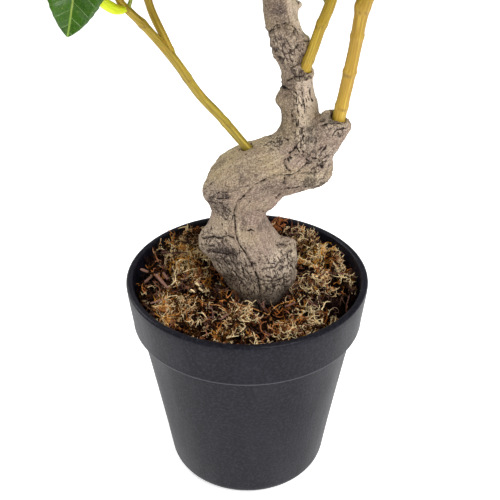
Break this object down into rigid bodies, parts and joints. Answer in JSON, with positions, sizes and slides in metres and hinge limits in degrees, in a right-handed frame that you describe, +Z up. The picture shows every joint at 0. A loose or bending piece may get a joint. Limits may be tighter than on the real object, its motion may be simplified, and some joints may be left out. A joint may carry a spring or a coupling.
{
  "type": "potted artificial lemon tree",
  "caption": "Potted lemon tree of the artificial kind: nursery pot, cement ballast, curly moss, gnarled moulded trunk, plug-in stems, glossy leaves and lemons.",
  "frame": {"origin": "centre of the pot's underside, on the surface it stands on", "axes": "+Z up along the pot's axis; the front, with the cut stub to its right, looks along -Y; +X to the right"},
  "size_m": [0.3262, 0.3276, 0.5301],
  "materials": {
    "pot": "matte",
    "ballast": "matte",
    "moss": "matte",
    "trunk": "matte",
    "stem": "satin",
    "leaf": "satin",
    "lemon": "satin"
  },
  "bodies": {
    "root": {"ballast": "ballast", "leaf_01": "leaf", "leaf_02": "leaf", "leaf_03": "leaf", "leaf_04": "leaf", "leaf_05": "leaf", "leaf_06": "leaf", "leaf_07": "leaf", "leaf_08": "leaf", "leaf_09": "leaf", "leaf_10": "leaf", "leaf_11": "leaf", "leaf_12": "leaf", "leaf_13": "leaf", "leaf_14": "leaf", "leaf_15": "leaf", "leaf_16": "leaf", "leaf_17": "leaf", "leaf_18": "leaf", "leaf_19": "leaf", "leaf_20": "leaf", "leaf_21": "leaf", "leaf_22": "leaf", "leaf_23": "leaf", "leaf_24": "leaf", "leaf_25": "leaf", "leaf_26": "leaf", "leaf_27": "leaf", "leaf_28": "leaf", "leaf_29": "leaf", "leaf_30": "leaf", "leaf_31": "leaf", "leaf_32": "leaf", "leaf_33": "leaf", "leaf_34": "leaf", "leaf_35": "leaf", "leaf_36": "leaf", "leaf_37": "leaf", "leaf_38": "leaf", "leaf_39": "leaf", "leaf_40": "leaf", "leaf_41": "leaf", "leaf_42": "leaf", "lemon_1": "lemon", "lemon_2": "lemon", "lemon_3": "lemon", "lemon_4": "lemon", "lemon_5": "lemon", "moss_bed": "moss", "pot": "pot", "stem_crown_back": "stem", "stem_crown_front": "stem", "stem_crown_left": "stem", "stem_crown_right": "stem", "stem_crown_top": "stem", "stem_left": "stem", "stem_middle": "stem", "stem_right": "stem", "trunk": "trunk"}
  },
  "joints": []
}
